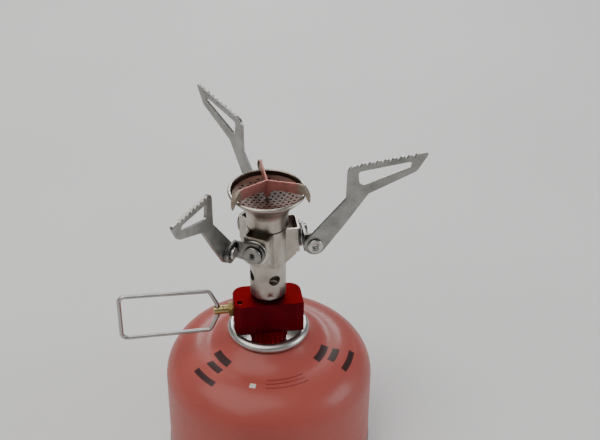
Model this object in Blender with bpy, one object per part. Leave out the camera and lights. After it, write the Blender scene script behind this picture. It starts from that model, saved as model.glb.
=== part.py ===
"""Canister camping stove: a folding three-arm burner screwed onto a small gas canister.

Metres, +Z up. The origin is the centre of the canister's base, on the ground.
+X points along the right-hand pot support; the valve spindle and its wire handle point to -X.
"""
import math

import bmesh
import bpy
from mathutils import Matrix, Vector
from mathutils.geometry import tessellate_polygon

MM = 0.001
GAP = 0.3 * MM  # clearance left between neighbouring solids

# ---------------------------------------------------------------- driving dimensions
# Canister
CAN_RADIUS = 44.7 * MM
CAN_WALL = 0.6 * MM
SEAM_RADIUS = 45.1 * MM
SEAM_INNER = 43.0 * MM
SEAM_HEIGHT = 2.9 * MM
CURL_Z = 62.4 * MM  # centre plane of the valve cup's curled rim
SHOULDER_Z = CURL_Z - 24.3 * MM  # where the straight wall ends
SHOULDER_RISE = 16.2 * MM
DOME_FLAT_RADIUS = 27.4 * MM  # where the shoulder arc turns into the neck's rise
NECK_RADIUS = 17.2 * MM
NECK_RISE = 5.3 * MM
CURL_MAJOR = 15.4 * MM
CURL_MINOR = 2.0 * MM
CUP_FLOOR = CURL_Z - 5.4 * MM
TOWER_RADIUS = 5.5 * MM  # outside of the valve thread, 7/16 inch
TOWER_BORE = 4.7 * MM
TOWER_TOP = CURL_Z + 0.8 * MM
CANISTER_SEGMENTS = 36

# Valve body and what it holds
BODY_BOTTOM = CURL_Z + 3.5 * MM
BODY_TOP = CURL_Z + 17.9 * MM
BODY_LEFT = -15.0 * MM
BODY_RIGHT = 13.9 * MM
BODY_FRONT = -9.4 * MM
BODY_BACK = 5.8 * MM
BODY_BOSS_RADIUS = 8.7 * MM
COLLAR_RADIUS = 8.05 * MM
COLLAR_BORE = TOWER_RADIUS + 0.35 * MM
COLLAR_BOTTOM = CURL_Z - 4.2 * MM
SPINDLE_Z = CURL_Z + 10.9 * MM
SPINDLE_RADIUS = 1.9 * MM
SPINDLE_END = -23.2 * MM
GLAND_END = -16.8 * MM
CROSS_HOLE_X = -21.6 * MM

# Wire handle
WIRE_RADIUS = 0.9 * MM
HANDLE_NEAR_HALF = 10.2 * MM  # the loop opens a little towards its far end
HANDLE_FAR_HALF = 10.8 * MM
HANDLE_NEAR_X = -24.9 * MM
HANDLE_FAR_X = -62.3 * MM
HANDLE_CORNER = 2.6 * MM

# Mixing tube and burner
TUBE_RADIUS = 7.5 * MM
TUBE_WALL = 0.5 * MM
TUBE_TOP = CURL_Z + 57.0 * MM
AIR_HOLE_Z = CURL_Z + 29.0 * MM
AIR_HOLE_RADIUS = 2.45 * MM
AIR_HOLE_COUNT = 4
AIR_HOLE_START = math.radians(-75)
LIP_RADIUS = 15.05 * MM
LIP_MINOR = 0.75 * MM
LIP_Z = CURL_Z + 68.7 * MM
SCREEN_RADIUS = 14.0 * MM
SCREEN_EDGE_Z = CURL_Z + 66.95 * MM
SCREEN_DISH = 1.9 * MM
SCREEN_THICKNESS = 0.4 * MM
SCREEN_HOLE_RADIUS = 1.0 * MM
SCREEN_HOLE_PITCH = 4.3 * MM

# Wind clip
CLIP_START = math.radians(-27)
CLIP_TOP = CURL_Z + 73.6 * MM  # in the middle; the fins rise a little towards their ends
CLIP_THICKNESS = 0.6 * MM

# Bracket and pot supports
LOBE_HALF_WIDTH = 5.5 * MM
SHEET = 0.9 * MM
TAB_FACE = 12.6 * MM  # outer face of each lobe, from the burner's axis
BRACKET_TOP = CURL_Z + 53.0 * MM
BRACKET_BOTTOM = CURL_Z + 36.0 * MM
BRACKET_BORE = TUBE_RADIUS + GAP
SWIVEL_Z = CURL_Z + 47.0 * MM  # height of the radial pivots
FOLD_RADIUS = 17.8 * MM  # distance of the tangential pivots from the burner's axis
FOLD_Z = CURL_Z + 47.8 * MM
LINK_THICKNESS = 1.0 * MM
EAR_INNER = 7.6 * MM  # side offset of the link's folded ear
BLADE_INNER = 9.6 * MM
BLADE_THICKNESS = 1.3 * MM
SHANK_RADIUS = 1.5 * MM
SHANK_HOLE = SHANK_RADIUS + GAP
SUPPORT_ANGLES = {"right": 0.0, "left": math.radians(-120), "rear": math.radians(120)}

# Colours (linear), roughness, metallic
RED_PAINT = ((0.42, 0.10, 0.075), 0.45, 0.1)
RED_ANODISED = ((0.22, 0.006, 0.01), 0.25, 0.9)
BARE_STEEL = ((0.55, 0.54, 0.51), 0.32, 1.0)
SATIN_STEEL = ((0.42, 0.41, 0.39), 0.42, 1.0)
HEATED_STEEL = ((0.30, 0.16, 0.11), 0.45, 0.9)
DARK_STEEL = ((0.20, 0.19, 0.18), 0.38, 1.0)
BRASS = ((0.62, 0.46, 0.20), 0.35, 1.0)
BLACK_RUBBER = ((0.02, 0.02, 0.02), 0.7, 0.0)
NYLON = ((0.75, 0.73, 0.68), 0.55, 0.0)
BRONZE = ((0.35, 0.22, 0.11), 0.7, 0.8)


# ---------------------------------------------------------------- helpers
def clear_scene():
    for obj in list(bpy.data.objects):
        bpy.data.objects.remove(obj, do_unlink=True)


def make_material(name, look):
    colour, roughness, metallic = look
    material = bpy.data.materials.new(name)
    material.use_nodes = True
    shader = material.node_tree.nodes["Principled BSDF"]
    shader.inputs["Base Color"].default_value = (*colour, 1.0)
    shader.inputs["Roughness"].default_value = roughness
    shader.inputs["Metallic"].default_value = metallic
    material.diffuse_color = (*colour, 1.0)
    return material


def finish(name, bm, look, matrix=None, smooth=True):
    """Turn bm into a named object with its own material, placed by matrix."""
    bmesh.ops.recalc_face_normals(bm, faces=bm.faces)
    mesh = bpy.data.meshes.new(name)
    bm.to_mesh(mesh)
    bm.free()
    obj = bpy.data.objects.new(name, mesh)
    bpy.context.scene.collection.objects.link(obj)
    if look:
        mesh.materials.append(make_material(name, look))
    for polygon in mesh.polygons:
        polygon.use_smooth = smooth
    if smooth:
        mesh.set_sharp_from_angle(angle=math.radians(35))
    if matrix:
        obj.matrix_world = matrix
    return obj


def turned_bmesh(profile, segments):
    """Revolve (radius, z) points about Z. The profile is a closed loop unless its ends are on the axis."""
    bm = bmesh.new()
    verts = [bm.verts.new((radius, 0, z)) for radius, z in profile]
    on_axis = profile[0][0] == 0 and profile[-1][0] == 0
    pairs = list(zip(verts, verts[1:]))
    if not on_axis:
        pairs.append((verts[-1], verts[0]))
    edges = [bm.edges.new(pair) for pair in pairs]
    bmesh.ops.spin(bm, geom=verts + edges, axis=(0, 0, 1), cent=(0, 0, 0),
                   steps=segments, angle=2 * math.pi, use_merge=True)
    bmesh.ops.remove_doubles(bm, verts=bm.verts, dist=1e-7)
    return bm


def turned(name, profile, look, segments=48, matrix=None):
    return finish(name, turned_bmesh(profile, segments), look, matrix)


def plate_bmesh(loops, thickness):
    """A flat plate in XY from z = 0 to thickness: the first loop is its outline, the others are holes."""
    bm = bmesh.new()
    points = [[Vector((x, y, 0)) for x, y in loop] for loop in loops]
    verts = [bm.verts.new(p) for loop in points for p in loop]
    for triangle in tessellate_polygon(points):
        bm.faces.new([verts[i] for i in triangle])
    bmesh.ops.recalc_face_normals(bm, faces=bm.faces)
    grown = bmesh.ops.extrude_face_region(bm, geom=bm.faces[:])
    top = [item for item in grown["geom"] if isinstance(item, bmesh.types.BMVert)]
    bmesh.ops.translate(bm, verts=top, vec=(0, 0, thickness))
    return bm


def plate(name, loops, thickness, look, matrix=None):
    return finish(name, plate_bmesh(loops, thickness), look, matrix, smooth=True)


def circle(centre, radius, segments, start=0.0):
    cx, cy = centre
    turns = (start + 2 * math.pi * i / segments for i in range(segments))
    return [(cx + radius * math.cos(a), cy + radius * math.sin(a)) for a in turns]


def arc(centre, radius, first, last, steps):
    """Points along an arc from angle first to angle last, both ends included."""
    cx, cy = centre
    turns = (first + (last - first) * i / steps for i in range(steps + 1))
    return [(cx + radius * math.cos(a), cy + radius * math.sin(a)) for a in turns]


def rounded(corners, steps=4):
    """An outline through corners (x, y, fillet radius), with each fillet as an arc."""
    points = []
    count = len(corners)
    for i, (x, y, radius) in enumerate(corners):
        here = Vector((x, y))
        if radius == 0:
            points.append((x, y))
            continue
        before = Vector(corners[i - 1][:2]) - here
        after = Vector(corners[(i + 1) % count][:2]) - here
        before.normalize()
        after.normalize()
        half = before.angle(after) / 2
        centre = here + (before + after).normalized() * radius / math.sin(half)
        first = here + before * radius / math.tan(half) - centre
        last = here + after * radius / math.tan(half) - centre
        start = math.atan2(first.y, first.x)
        sweep = math.atan2(first.x * last.y - first.y * last.x, first.dot(last))
        points += arc(centre, radius, start, start + sweep, steps)
    return points


def frame_at(angle, offset=(0.0, 0.0, 0.0)):
    """Local axes of one pot support: x outward, y sideways (clockwise from above), z up."""
    outward = Vector((math.cos(angle), math.sin(angle), 0))
    side = Vector((math.sin(angle), -math.cos(angle), 0))
    origin = outward * offset[0] + side * offset[1] + Vector((0, 0, offset[2]))
    return outward, side, origin


def radial_matrix(angle, outward_distance, z):
    """Places a plate or turned piece with its local Z along the outward direction, local Y up."""
    outward, side, origin = frame_at(angle, (outward_distance, 0, z))
    up = Vector((0, 0, 1))
    columns = (up.cross(outward), up, outward)
    return Matrix.Translation(origin) @ Matrix(columns).transposed().to_4x4()


def side_matrix(angle, side_distance, z=0.0, outward_distance=0.0):
    """Places a plate with its local X outward, local Y up and local Z along side."""
    outward, side, origin = frame_at(angle, (outward_distance, side_distance, z))
    up = Vector((0, 0, 1))
    columns = (outward, up, outward.cross(up))
    return Matrix.Translation(origin) @ Matrix(columns).transposed().to_4x4()


def cutter(name, bm, matrix=None):
    obj = finish(name, bm, None, matrix, smooth=False)
    obj.hide_render = True
    obj.display_type = "WIRE"
    return obj


def boolean(target, tool, operation="DIFFERENCE"):
    modifier = target.modifiers.new(tool.name, "BOOLEAN")
    modifier.operation = operation
    modifier.solver = "EXACT"
    modifier.object = tool


def rod_between(start, end, radius, segments=16):
    """A cylinder's bmesh and the matrix that lays it from start to end."""
    start, end = Vector(start), Vector(end)
    length = (end - start).length
    bm = bmesh.new()
    bmesh.ops.create_cone(bm, cap_ends=True, segments=segments, radius1=radius, radius2=radius, depth=length)
    turn = (end - start).to_track_quat("Z", "Y").to_matrix().to_4x4()
    return bm, Matrix.Translation((start + end) / 2) @ turn


def drill(target, name, start, end, radius, segments=16):
    bm, matrix = rod_between(start, end, radius, segments)
    boolean(target, cutter(name, bm, matrix))


# ---------------------------------------------------------------- canister
def dome_profile(inset):
    """The shoulder and neck of the shell as (radius, z), from the neck outward, moved inward by inset."""
    points = []
    for i in range(4):
        share = i / 3
        radius = NECK_RADIUS + (DOME_FLAT_RADIUS - NECK_RADIUS) * share
        rise = NECK_RISE * (1 - share) ** 2
        points.append((radius, SHOULDER_Z + SHOULDER_RISE + rise - inset))
    for i in range(1, 7):
        turn = math.pi / 2 * i / 6
        radius = DOME_FLAT_RADIUS + (CAN_RADIUS - inset - DOME_FLAT_RADIUS) * math.sin(turn)
        points.append((radius, SHOULDER_Z + (SHOULDER_RISE - inset) * math.cos(turn)))
    return points


def build_canister():
    neck_end = (CURL_MAJOR + 0.9 * MM, CURL_Z - 2.15 * MM)
    outside = [neck_end] + dome_profile(0.0) + [(CAN_RADIUS, SEAM_HEIGHT + GAP)]
    inside = [(CAN_RADIUS - CAN_WALL, SEAM_HEIGHT + GAP)] + dome_profile(CAN_WALL)[::-1]
    inside.append((neck_end[0], neck_end[1] - CAN_WALL))
    turned("canister_shell", outside + inside, RED_PAINT, CANISTER_SEGMENTS)

    sheet = 0.7 * MM
    dish = 7.0 * MM
    edge = SEAM_INNER - 1.5 * MM
    upper, lower = [], []
    for i in range(4):
        share = i / 3
        height = dish * (1 - share ** 2) + 0.6 * MM
        upper.append((edge * share, height + sheet))
        lower.append((edge * share, height))
    rim = [(SEAM_INNER, 2.4 * MM), (SEAM_INNER + 0.6 * MM, SEAM_HEIGHT),
           (SEAM_RADIUS - 0.5 * MM, SEAM_HEIGHT), (SEAM_RADIUS, SEAM_HEIGHT - 0.5 * MM),
           (SEAM_RADIUS, 0.6 * MM), (SEAM_RADIUS - 0.6 * MM, 0), (SEAM_INNER + 0.2 * MM, 0),
           (SEAM_INNER - 0.5 * MM, 0.3 * MM)]
    turned("canister_base", upper + rim + lower[::-1], BARE_STEEL, CANISTER_SEGMENTS)

    build_valve_cup()
    build_canister_valve()


def build_valve_cup():
    wall_inner = CURL_MAJOR - CURL_MINOR - 0.2 * MM
    wall_outer = wall_inner + 0.6 * MM
    meet = math.acos((wall_outer - CURL_MAJOR) / CURL_MINOR)
    curl = arc((CURL_MAJOR, CURL_Z), CURL_MINOR, math.pi, -meet, 8)
    profile = [
        (2.2 * MM, TOWER_TOP), (TOWER_RADIUS - 0.3 * MM, TOWER_TOP),
        (TOWER_RADIUS, TOWER_TOP - 0.3 * MM), (TOWER_RADIUS, CUP_FLOOR + 0.4 * MM),
        (TOWER_RADIUS + 0.4 * MM, CUP_FLOOR), (wall_inner - 0.8 * MM, CUP_FLOOR),
        (wall_inner, CUP_FLOOR + 0.8 * MM),
    ]
    profile += curl
    profile += [
        (wall_outer, CUP_FLOOR + 0.5 * MM), (wall_outer - 1.1 * MM, CUP_FLOOR - 0.6 * MM),
        (TOWER_BORE, CUP_FLOOR - 0.6 * MM), (TOWER_BORE, TOWER_TOP - 0.7 * MM),
        (2.2 * MM, TOWER_TOP - 0.7 * MM),
    ]
    turned("valve_cup", profile, BARE_STEEL, 32)


def build_canister_valve():
    """The spring-loaded valve inside the threaded tower."""
    top = CURL_Z - 1.4 * MM
    flange = CURL_Z - 6.3 * MM
    bottom = CURL_Z - 12.0 * MM
    housing = [
        (3.8 * MM, top), (4.4 * MM, top), (4.4 * MM, flange), (6.6 * MM, flange),
        (6.6 * MM, flange - 0.8 * MM), (5.0 * MM, flange - 1.1 * MM), (5.0 * MM, bottom),
        (0.6 * MM, bottom), (0.6 * MM, bottom + 0.8 * MM), (3.8 * MM, bottom + 0.8 * MM),
    ]
    turned("valve_housing", housing, NYLON, 24)
    gasket = [(2.1 * MM, CURL_Z - 1.1 * MM), (4.4 * MM, CURL_Z - 1.1 * MM),
              (4.4 * MM, CURL_Z - 0.2 * MM), (2.1 * MM, CURL_Z - 0.2 * MM)]
    turned("valve_gasket", gasket, BLACK_RUBBER, 24)
    pin = [
        (0, CURL_Z + 0.2 * MM), (1.4 * MM, CURL_Z + 0.2 * MM), (1.7 * MM, CURL_Z - 0.1 * MM),
        (1.7 * MM, top), (3.3 * MM, top), (3.3 * MM, top - 1.2 * MM), (1.2 * MM, top - 1.2 * MM),
        (1.2 * MM, CURL_Z - 7.5 * MM), (0, CURL_Z - 7.5 * MM),
    ]
    turned("valve_pin", pin, BRASS, 24)
    coil("valve_spring", CURL_Z - 10.5 * MM, CURL_Z - 3.3 * MM)


def coil(name, low, high):
    """A helical spring from a curve with a round bevel."""
    turns, radius, wire = 5, 2.4 * MM, 0.3 * MM
    steps = 8 * turns
    curve = bpy.data.curves.new(name, "CURVE")
    curve.dimensions = "3D"
    curve.bevel_depth = wire
    curve.bevel_resolution = 0
    curve.use_fill_caps = True
    spline = curve.splines.new("POLY")
    spline.points.add(steps)
    for i in range(steps + 1):
        angle = 2 * math.pi * turns * i / steps
        z = low + (high - low) * i / steps
        spline.points[i].co = (radius * math.cos(angle), radius * math.sin(angle), z, 1)
    obj = bpy.data.objects.new(name, curve)
    bpy.context.scene.collection.objects.link(obj)
    curve.materials.append(make_material(name, BARE_STEEL))


# ---------------------------------------------------------------- valve body
def build_valve_body():
    chamfer, corner_front, corner_back = 2.4 * MM, 0.8 * MM, 5.0 * MM
    boss_turn = math.asin(BODY_BACK / BODY_BOSS_RADIUS)
    left, right = BODY_LEFT, BODY_RIGHT
    outline = [(left, BODY_FRONT + chamfer), (left + chamfer, BODY_FRONT)]
    outline += arc((right - corner_front, BODY_FRONT + corner_front), corner_front,
                   -math.pi / 2, 0, 3)
    outline += arc((right - corner_back, BODY_BACK - corner_back), corner_back, 0, math.pi / 2, 6)
    outline += arc((0, 0), BODY_BOSS_RADIUS, boss_turn, math.pi - boss_turn, 12)
    outline += arc((left + corner_back, BODY_BACK - corner_back), corner_back,
                   math.pi / 2, math.pi, 6)
    bm = plate_bmesh([outline], BODY_TOP - BODY_BOTTOM)
    bmesh.ops.dissolve_limit(bm, angle_limit=math.radians(1), verts=bm.verts, edges=bm.edges)
    rims = [e for e in bm.edges if abs((e.verts[0].co - e.verts[1].co).z) < 1e-6]
    bmesh.ops.bevel(bm, geom=rims, offset=0.4 * MM, segments=2, affect="EDGES", profile=0.5)
    body = finish("valve_body", bm, RED_ANODISED, Matrix.Translation((0, 0, BODY_BOTTOM)))

    seat_x = -5.0 * MM
    pin_x, pin_y = -12.6 * MM, -5.4 * MM
    bores = {
        "cut_gland_thread": ((left - MM, 0, SPINDLE_Z), (-11.0 * MM, 0, SPINDLE_Z), 3.2 * MM, 24),
        "cut_spindle_bore": ((-12.0 * MM, 0, SPINDLE_Z), (seat_x, 0, SPINDLE_Z), 2.5 * MM, 24),
        "cut_needle_seat": ((seat_x - MM, 0, SPINDLE_Z), (0.3 * MM, 0, SPINDLE_Z), 0.6 * MM, 12),
        "cut_jet_thread": ((0, 0, BODY_TOP - 4.0 * MM), (0, 0, BODY_TOP + MM), 2.3 * MM, 24),
        "cut_outlet": ((0, 0, SPINDLE_Z - 0.4 * MM), (0, 0, BODY_TOP - 3.5 * MM), 1.1 * MM, 16),
        "cut_inlet": ((0, 0, BODY_BOTTOM - MM), (0, 0, BODY_BOTTOM + 4.4 * MM), 1.6 * MM, 20),
        "cut_gas_way": ((0.4 * MM, 0, BODY_BOTTOM + 3.6 * MM), (-8.0 * MM, 0, SPINDLE_Z - MM), 0.7 * MM, 12),
        "cut_pin_hole": ((pin_x, pin_y, BODY_TOP - 4.0 * MM), (pin_x, pin_y, BODY_TOP + MM), 0.95 * MM, 12),
    }
    for name, (start, end, radius, segments) in bores.items():
        drill(body, name, start, end, radius, segments)

    low, high = BODY_TOP - 3.7 * MM, BODY_TOP - 0.8 * MM
    pin = [(0, low), (0.65 * MM, low), (0.65 * MM, high), (0, high)]
    turned("retaining_pin", pin, DARK_STEEL, 12, Matrix.Translation((pin_x, pin_y, 0)))


def build_inlet():
    """What meets the canister's valve: threaded collar, seal, probe and filter."""
    flutes = 22
    outline = []
    for i in range(flutes):
        turn = 2 * math.pi * i / flutes
        for share, radius in ((0.0, COLLAR_RADIUS), (0.45, COLLAR_RADIUS), (0.6, COLLAR_RADIUS - 0.35 * MM),
                              (0.85, COLLAR_RADIUS - 0.35 * MM)):
            a = turn + share * 2 * math.pi / flutes
            outline.append((radius * math.cos(a), radius * math.sin(a)))
    height = BODY_BOTTOM - GAP - COLLAR_BOTTOM
    plate("thread_collar", [outline, circle((0, 0), COLLAR_BORE, 32)], height, RED_ANODISED,
          Matrix.Translation((0, 0, COLLAR_BOTTOM)))

    seal_minor = 0.9 * MM
    seal_centre = (4.4 * MM, TOWER_TOP + GAP + seal_minor)
    turned("seal_ring", circle(seal_centre, seal_minor, 8), BLACK_RUBBER, 24)

    tip = CURL_Z + 0.5 * MM
    shoulder = BODY_BOTTOM - GAP
    probe = [
        (0.5 * MM, tip), (1.2 * MM, tip), (1.2 * MM, shoulder - MM), (2.6 * MM, shoulder - MM),
        (2.6 * MM, shoulder), (1.3 * MM, shoulder), (1.3 * MM, BODY_BOTTOM + 1.8 * MM),
        (0.5 * MM, BODY_BOTTOM + 1.8 * MM),
    ]
    turned("valve_probe", probe, BRASS, 20)
    low, high = BODY_BOTTOM + 2.1 * MM, BODY_BOTTOM + 3.6 * MM
    turned("inlet_filter", [(0, low), (1.25 * MM, low), (1.25 * MM, high), (0, high)], BRONZE, 16)


def build_jet():
    bottom = BODY_TOP - 3.7 * MM
    flange = BODY_TOP + GAP
    profile = [
        (0.6 * MM, bottom), (2.0 * MM, bottom), (2.0 * MM, flange), (3.0 * MM, flange),
        (3.0 * MM, flange + 2.0 * MM), (1.5 * MM, flange + 2.3 * MM), (1.2 * MM, flange + 3.6 * MM),
        (0.2 * MM, flange + 3.6 * MM), (0.2 * MM, flange + 3.0 * MM), (0.6 * MM, flange + 2.6 * MM),
    ]
    turned("jet", profile, BRASS, 18)


# ---------------------------------------------------------------- spindle and handle
def spindle_matrix():
    """Local Z runs along the spindle, from the needle out towards the handle."""
    turn = Vector((-1, 0, 0)).to_track_quat("Z", "Y").to_matrix().to_4x4()
    return Matrix.Translation((0, 0, SPINDLE_Z)) @ turn


def build_spindle():
    matrix = spindle_matrix()
    body_side = -BODY_LEFT + GAP
    gland_length = -GLAND_END - body_side
    hexagon = circle((0, 0), 3.4 * MM, 6)
    bore = circle((0, 0), SPINDLE_RADIUS + GAP, 24)
    head = plate_bmesh([hexagon, bore], gland_length)
    bmesh.ops.translate(head, verts=head.verts, vec=(0, 0, body_side))
    gland = finish("gland_nut", head, BRASS, matrix)
    shank_profile = [(SPINDLE_RADIUS + GAP, 11.4 * MM), (2.9 * MM, 11.4 * MM),
                     (2.9 * MM, body_side + 0.5 * MM), (SPINDLE_RADIUS + GAP, body_side + 0.5 * MM)]
    boolean(gland, cutter("add_gland_shank", turned_bmesh(shank_profile, 24), matrix), "UNION")

    reach = -SPINDLE_END
    profile = [
        (0, 5.3 * MM), (0.25 * MM, 5.3 * MM), (1.2 * MM, 8.0 * MM), (1.9 * MM, 8.0 * MM),
        (1.9 * MM, 9.6 * MM), (1.2 * MM, 9.6 * MM), (1.2 * MM, 11.2 * MM), (SPINDLE_RADIUS, 11.4 * MM),
        (SPINDLE_RADIUS, reach - 0.5 * MM), (SPINDLE_RADIUS - 0.4 * MM, reach), (0, reach),
    ]
    spindle = turned("spindle", profile, BRASS, 20, matrix)
    half = 3 * MM
    drill(spindle, "cut_handle_hole", (CROSS_HOLE_X, 0, SPINDLE_Z - half),
          (CROSS_HOLE_X, 0, SPINDLE_Z + half), WIRE_RADIUS + GAP, 16)
    turned("spindle_seal", circle((1.88 * MM, 10.4 * MM), 0.34 * MM, 8), BLACK_RUBBER, 16, matrix)


def build_handle():
    """A loop of round wire whose two ends enter the spindle's cross hole from above and below."""
    upper = [
        (CROSS_HOLE_X, 0.4 * MM, 0), (CROSS_HOLE_X, 3.0 * MM, 1.5 * MM),
        (HANDLE_NEAR_X, HANDLE_NEAR_HALF, 1.8 * MM), (HANDLE_FAR_X, HANDLE_FAR_HALF, HANDLE_CORNER),
    ]
    lower = [(x, -z, r) for x, z, r in reversed(upper)]
    path = upper + lower
    points = rounded(path, 5)
    curve = bpy.data.curves.new("handle_wire", "CURVE")
    curve.dimensions = "3D"
    curve.bevel_depth = WIRE_RADIUS
    curve.bevel_resolution = 2
    curve.use_fill_caps = True
    spline = curve.splines.new("POLY")
    spline.points.add(len(points) - 1)
    for point, (x, z) in zip(spline.points, points):
        point.co = (x - CROSS_HOLE_X, 0, z, 1)
    obj = bpy.data.objects.new("handle_wire", curve)
    bpy.context.scene.collection.objects.link(obj)
    obj.location = (CROSS_HOLE_X, 0, SPINDLE_Z)
    curve.materials.append(make_material("handle_wire", BARE_STEEL))


# ---------------------------------------------------------------- burner
def build_tube():
    bottom = BODY_TOP + GAP
    corner = 1.7 * MM
    inner = TUBE_RADIUS - TUBE_WALL
    seat = 3.7 * MM
    outer_arc = arc((TUBE_RADIUS - corner, bottom + corner), corner, -math.pi / 2, 0, 3)
    inner_arc = arc((TUBE_RADIUS - corner, bottom + corner), corner - TUBE_WALL, 0, -math.pi / 2, 3)
    profile = [(seat, bottom)] + outer_arc + [(TUBE_RADIUS, TUBE_TOP), (inner, TUBE_TOP)]
    profile += inner_arc + [(seat, bottom + TUBE_WALL)]
    tube = turned("mixing_tube", profile, SATIN_STEEL, 28)
    for i in range(AIR_HOLE_COUNT):
        turn = AIR_HOLE_START + 2 * math.pi * i / AIR_HOLE_COUNT
        near = Vector((math.cos(turn), math.sin(turn), 0)) * 4 * MM
        far = near * 3
        lift = Vector((0, 0, AIR_HOLE_Z))
        drill(tube, f"cut_air_hole_{i}", near + lift, far + lift, AIR_HOLE_RADIUS, 16)


def build_burner_head():
    socket = TUBE_RADIUS + GAP
    floor = BRACKET_TOP + GAP
    outside = [(8.35, 53.3), (8.5, 57.0), (8.8, 59.5), (9.6, 61.6), (11.4, 63.9), (13.6, 66.0), (14.8, 67.6)]
    inside = [(14.3, 66.9), (13.1, 66.1), (10.9, 63.9), (9.1, 61.6), (8.3, 59.5), (7.1, 57.6), (7.1, 57.3)]
    lip = arc((LIP_RADIUS, LIP_Z), LIP_MINOR, math.radians(-110), math.radians(180), 6)
    profile = [(r * MM, CURL_Z + z * MM) for r, z in outside] + lip
    profile += [(r * MM, CURL_Z + z * MM) for r, z in inside]
    profile += [(socket, CURL_Z + 57.3 * MM), (socket, floor)]
    turned("burner_head", profile, SATIN_STEEL, 32)


def screen_height(radius):
    return SCREEN_EDGE_Z - SCREEN_DISH * (1 - (radius / SCREEN_RADIUS) ** 2)


def build_screen():
    rings = [SCREEN_RADIUS * i / 3 for i in range(4)]
    top = [(r, screen_height(r) + SCREEN_THICKNESS) for r in rings]
    under = [(r, screen_height(r)) for r in reversed(rings)]
    screen = turned("burner_screen", under[::-1] + top[::-1], HEATED_STEEL, 28)
    holes = bmesh.new()
    reach = int(SCREEN_RADIUS / SCREEN_HOLE_PITCH) + 2
    low = screen_height(0) - MM
    for row in range(-reach, reach + 1):
        for column in range(-reach, reach + 1):
            x = (column + 0.5 * (row % 2)) * SCREEN_HOLE_PITCH
            y = row * SCREEN_HOLE_PITCH * math.sqrt(0.75)
            if 2.4 * MM < math.hypot(x, y) < SCREEN_RADIUS - 1.6 * MM:
                place = Matrix.Translation((x, y, low + 3 * MM))
                bmesh.ops.create_cone(holes, cap_ends=True, segments=6, radius1=SCREEN_HOLE_RADIUS,
                                      radius2=SCREEN_HOLE_RADIUS, depth=6 * MM, matrix=place)
    boolean(screen, cutter("cut_screen_holes", holes))


def clip_cap_bmesh():
    """The folded back of one claw of the wind clip, along +X: a narrow strip down over the burner's lip."""
    spine = [(12.6, 74.5, 0.35), (14.5, 74.22, 0.7), (15.9, 73.45, 1.0), (16.98, 71.95, 1.1),
             (17.72, 70.25, 1.0), (18.02, 68.6, 0.7), (17.85, 67.0, 0.35)]
    bend = 4 * MM
    bm = bmesh.new()
    rows = []
    for r, z, half in spine:
        row = []
        for share in (-1.0, -0.5, 0.0, 0.5, 1.0):
            y = share * half * MM
            x = r * MM - (1 - math.cos(y / bend)) * bend
            row.append(bm.verts.new((x, y, CURL_Z + z * MM)))
        rows.append(row)
    for low, high in zip(rows, rows[1:]):
        for i in range(4):
            bm.faces.new((low[i], low[i + 1], high[i + 1], high[i]))
    bmesh.ops.recalc_face_normals(bm, faces=bm.faces)
    bmesh.ops.solidify(bm, geom=bm.faces[:], thickness=CLIP_THICKNESS * 0.8)
    return bm


def build_wind_clip():
    post_bottom = screen_height(0) + SCREEN_THICKNESS + GAP
    claw = [
        (1.6, 68.4), (3.6, 69.6), (8.5, 69.9), (12.8, 69.7), (14.2, 69.8), (15.5, 69.8), (16.1, 69.3),
        (16.4, 68.4), (17.3, 66.9), (17.95, 66.8), (18.15, 68.6), (17.85, 70.3), (17.1, 72.0),
        (16.0, 73.6), (14.5, 74.35), (12.6, 74.6),
    ]
    fin_outline = [(-0.2 * MM, post_bottom), (0.9 * MM, post_bottom)]
    fin_outline += [(r * MM, CURL_Z + z * MM) for r, z in claw] + [(-0.2 * MM, CLIP_TOP)]
    clip = None
    for i in range(3):
        turn = CLIP_START + 2 * math.pi * i / 3
        fin = plate_bmesh([fin_outline], CLIP_THICKNESS)
        fin_place = side_matrix(turn, -CLIP_THICKNESS / 2)
        cap_place = Matrix.Rotation(turn, 4, "Z")
        if clip is None:
            clip = finish("wind_clip", fin, HEATED_STEEL, fin_place)
        else:
            boolean(clip, cutter(f"add_fin_{i}", fin, fin_place), "UNION")
        boolean(clip, cutter(f"add_cap_{i}", clip_cap_bmesh(), cap_place), "UNION")


# ---------------------------------------------------------------- bracket
def bracket_outline(bore, half_width, face):
    """Plan of the three-lobed bracket: arcs on the tube between lobes, each lobe with a flat face."""
    meet = math.asin(half_width / bore)
    points = []
    for i in range(3):
        turn = 2 * math.pi * i / 3
        ca, sa = math.cos(turn), math.sin(turn)
        fillet = 1.0 * MM
        lobe = [(bore * math.cos(meet), -half_width)]
        lobe += arc((face - fillet, -half_width + fillet), fillet, -math.pi / 2, 0, 3)
        lobe += arc((face - fillet, half_width - fillet), fillet, 0, math.pi / 2, 3)
        lobe += [(bore * math.cos(meet), half_width)]
        points += [(x * ca - y * sa, x * sa + y * ca) for x, y in lobe]
        points += arc((0, 0), bore, turn + meet, turn + 2 * math.pi / 3 - meet, 4)[1:-1]
    return points


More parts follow.
